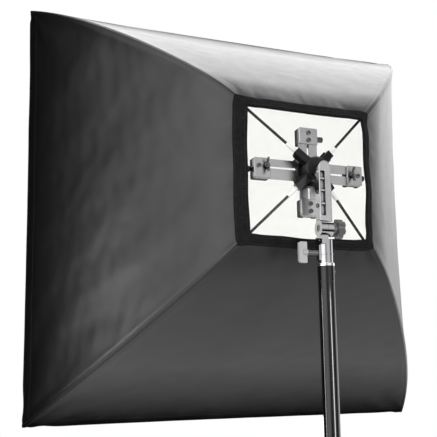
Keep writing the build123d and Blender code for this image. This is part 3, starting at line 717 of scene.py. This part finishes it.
shell_lines = []
band_lines = []
for side in range(4):
    shell_lines += [across_line(side, SEAM_LEN - HEM_W + 1 * MM, 0.1 * MM, 7 * MM)]
    shell_lines += [across_line(side, SEAM_LEN - 3 * MM, 0.1 * MM, 7 * MM)]
    shell_lines += [seam_line(side, end, 3.6 * MM, 0.6 * MM) for end in (1, -1)]
    outer_line = BAND_W * BAND_SHARE[side] - 3.4 * MM
    band_lines += [across_line(side, s, 1.45 * MM, 9 * MM) for s in (3 * MM, outer_line)]
shell_thread = add_stitches("shell_stitching", shell_lines, BLACK_THREAD)
band_thread = add_stitches("binding_stitching", band_lines, BLACK_THREAD)


def diffuser_line(k, inset):
    """A stitch line along one edge of the diffuser's tape."""
    reach = DIFFUSER_HALF - inset
    turn = Quaternion((0, 1, 0), math.radians(90 * k))
    centre = Vector((0, DIFFUSER_LOW.y + 0.05 * MM - 0.4 * MM, AXIS_Z))
    return lambda at: centre + turn @ Vector((reach, 0, at - reach)), 2 * reach


diffuser_lines = [diffuser_line(k, inset) for k in range(4) for inset in (2.5 * MM, 11.5 * MM)]
diffuser_thread = add_stitches("diffuser_stitching", diffuser_lines, WHITE_THREAD)


# ---- rod-end pockets ----
POCKET_R = 3.9 * MM
POCKET_LEN = 26 * MM


def make_pockets():
    """A sleeve of nylon at the front end of each rod: open behind and closed in front."""
    points, faces = [], []
    rings, around = 14, 20
    for k in range(4):
        s_end = SEAM_LEN - 34 * MM
        r, f, a = on_seam(s_end)
        r, f = r - 8 * MM * math.cos(a), f + 8 * MM * math.sin(a)
        heading = Vector((math.sin(a) / math.sqrt(2), -math.cos(a), math.sin(a) / math.sqrt(2)))
        centre = Vector((r / math.sqrt(2), OPEN_Y - f, r / math.sqrt(2))) - heading * (POCKET_LEN - 8 * MM)
        side = Vector((1, 0, -1)).normalized()
        up = heading.cross(side)
        base = len(points)
        for wall in (0.0, 0.5 * MM):
            for i in range(rings):
                at = i / (rings - 1)
                for j in range(around):
                    t = 2 * math.pi * j / around
                    pinch = 1 - 0.55 * smooth((at - 0.8) / 0.2)
                    radius = POCKET_R - wall + 0.18 * MM * math.sin(3 * t + 9 * at + k)
                    offset = side * math.cos(t) * radius + up * math.sin(t) * radius * pinch
                    p = centre + heading * (POCKET_LEN * at) + offset
                    points.append(turned(p.x, p.y, p.z, k))
        size = rings * around
        for i in range(rings - 1):
            for j in range(around):
                a0, b0 = base + i * around + j, base + i * around + (j + 1) % around
                quad = (a0, b0, b0 + around, a0 + around)
                faces.append(quad)
                faces.append(tuple(size + v for v in reversed(quad)))
        for j in range(around):
            a0, b0 = base + j, base + (j + 1) % around
            faces.append((b0, a0, size + a0, size + b0))
        last = base + (rings - 1) * around
        faces.append(tuple(last + j for j in range(around)))
        faces.append(tuple(size + last + j for j in reversed(range(around))))
    return add_mesh("rod_pockets", points, faces, FINISHES["black_nylon"])


pockets = make_pockets()
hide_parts("corner_pockets")

# ---- camera, floor and light ----
CAMERA_AT = Vector((0.447, 0.848, 0.095))
CAMERA_AIM = Vector((0.0564, -0.1687, 0.2488))
CAMERA_ROLL = math.radians(-1.16)
CAMERA_LENS = 60.4          # mm, on a sensor 36 mm wide
CAMERA_SHIFT = (-0.049, 0.129)


def make_camera():
    camera = bpy.data.objects.new("camera", bpy.data.cameras.new("camera"))
    bpy.context.scene.collection.objects.link(camera)
    camera.data.lens = CAMERA_LENS
    camera.data.sensor_width = 36
    camera.data.shift_x, camera.data.shift_y = CAMERA_SHIFT
    camera.location = CAMERA_AT
    camera.rotation_mode = "QUATERNION"
    aim = (CAMERA_AIM - CAMERA_AT).to_track_quat("-Z", "Y")
    camera.rotation_quaternion = aim @ Quaternion((0, 0, 1), CAMERA_ROLL)
    bpy.context.scene.camera = camera


FLOOR_Z = -1.1
FLOOR_R = 1.5
FLOOR_AT = (0.0, -0.05)
FLOOR_CORNERS = 72


def make_floor():
    """A round pale floor under the object, as far below the riser as a light stand would hold it."""
    mesh = bpy.data.meshes.new("floor")
    rim = []
    for k in range(FLOOR_CORNERS):
        a = 2 * math.pi * k / FLOOR_CORNERS
        rim.append((FLOOR_AT[0] + FLOOR_R * math.cos(a), FLOOR_AT[1] + FLOOR_R * math.sin(a), FLOOR_Z))
    mesh.from_pydata(rim, [], [tuple(range(FLOOR_CORNERS))])
    floor = bpy.data.objects.new("floor", mesh)
    bpy.context.scene.collection.objects.link(floor)
    m = Shade("pale_floor", (0.62, 0.62, 0.61), 0.8)
    m.colours(m.noise(400, 3), (0.60, 0.60, 0.59), (0.64, 0.64, 0.63))
    floor.data.materials.append(m.material)


def area_light(name, at, aim, size, power):
    light = bpy.data.lights.new(name, "AREA")
    light.shape = "RECTANGLE"
    light.size, light.size_y = size
    light.energy = power
    lamp = bpy.data.objects.new(name, light)
    bpy.context.scene.collection.objects.link(lamp)
    lamp.location = at
    lamp.rotation_mode = "QUATERNION"
    lamp.rotation_quaternion = (Vector(aim) - Vector(at)).to_track_quat("-Z", "Y")


# direction and strength of each soft glow of the surround, as it lights the object
GLOWS = (
    ((-0.42, -0.52, 0.74), 3.2),    # high in front, from the right
    ((-0.30, 0.92, 0.25), 1.0),     # behind, from the right
    ((0.86, 0.46, 0.15), 2.2),      # left, a little behind
    ((0.45, 0.50, 0.80), 1.4),      # high behind
    ((-0.93, -0.25, -0.20), 2.0),   # right
)
GLOW_EDGE = 0.7                     # cosine from the glow's direction where it starts
GLOW_BASE = 0.004


def make_world():
    """A studio surround: white to look at, and as a light a few broad soft glows."""
    world = bpy.data.worlds.new("studio")
    bpy.context.scene.world = world
    world.use_nodes = True
    tree = world.node_tree

    def link(source, target):
        tree.links.new(source, target)

    direction = tree.nodes.new("ShaderNodeTexCoord").outputs["Generated"]
    total = None
    for aim, strength in GLOWS:
        cosine = tree.nodes.new("ShaderNodeVectorMath")
        cosine.operation = "DOT_PRODUCT"
        cosine.inputs[1].default_value = Vector(aim).normalized()
        link(direction, cosine.inputs[0])
        glow = tree.nodes.new("ShaderNodeMapRange")
        glow.interpolation_type = "SMOOTHSTEP"
        for socket, value in (("From Min", GLOW_EDGE), ("From Max", 1.0), ("To Max", strength)):
            glow.inputs[socket].default_value = value
        link(cosine.outputs["Value"], glow.inputs["Value"])
        add = tree.nodes.new("ShaderNodeMath")
        add.inputs[1].default_value = GLOW_BASE
        link(glow.outputs["Result"], add.inputs[0])
        if total:
            link(total, add.inputs[1])
        total = add.outputs[0]
    seen = tree.nodes.new("ShaderNodeMix")
    seen.inputs["B"].default_value = 1.0
    link(tree.nodes.new("ShaderNodeLightPath").outputs["Is Camera Ray"], seen.inputs["Factor"])
    link(total, seen.inputs["A"])
    background = tree.nodes["Background"]
    background.inputs["Color"].default_value = (1, 1, 1, 1)
    link(seen.outputs["Result"], background.inputs["Strength"])


# name, place, the point it faces, width and height in metres, and power in watts
STRIP_AIM = (0, 0.03, 0.2)
LIGHTS = (
    ("front_light", (0, -2.2, 0.42), (0, -0.3, 0.375), (1.3, 1.3), 33),
    ("left_strip", (1.66, -0.33, 0.1), STRIP_AIM, (0.14, 0.6), 4.2),
    ("back_strip", (-0.52, 1.62, 0.05), STRIP_AIM, (0.36, 0.7), 14),
)

bpy.context.scene.view_settings.view_transform = "Standard"
make_camera()
make_floor()
make_world()
for name, at, aim, size, power in LIGHTS:
    area_light(name, at, aim, size, power)
